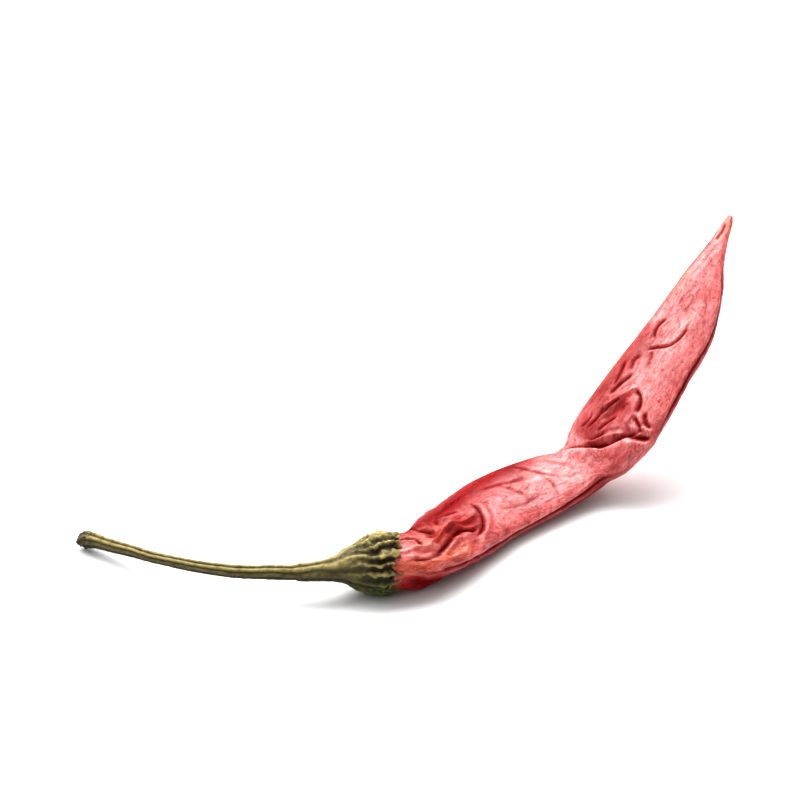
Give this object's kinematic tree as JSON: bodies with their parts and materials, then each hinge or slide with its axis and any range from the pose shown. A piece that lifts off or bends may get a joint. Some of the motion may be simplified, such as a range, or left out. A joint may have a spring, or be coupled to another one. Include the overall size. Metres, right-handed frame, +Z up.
{
  "type": "dried chilli pepper",
  "caption": "Whole dried red chilli pepper lying on its belly, shrivelled pod kinked upward to a thin tip, with a curved ribbed stalk flaring into a calyx.",
  "frame": {"origin": "on the surface the pepper lies on, under the middle of its bounding box", "axes": "+Z up, +X from the stalk's free end towards the pod's tip"},
  "size_m": [0.1014, 0.032, 0.03],
  "materials": {
    "dried_skin": "dried pepper skin: wrinkled, waxy, dark red with orange patches",
    "dried_stalk": "dried fibrous stem: ribbed, matt, olive green to straw"
  },
  "bodies": {
    "root": {"pod": "dried_skin", "stalk_and_calyx": "dried_stalk"}
  },
  "joints": []
}
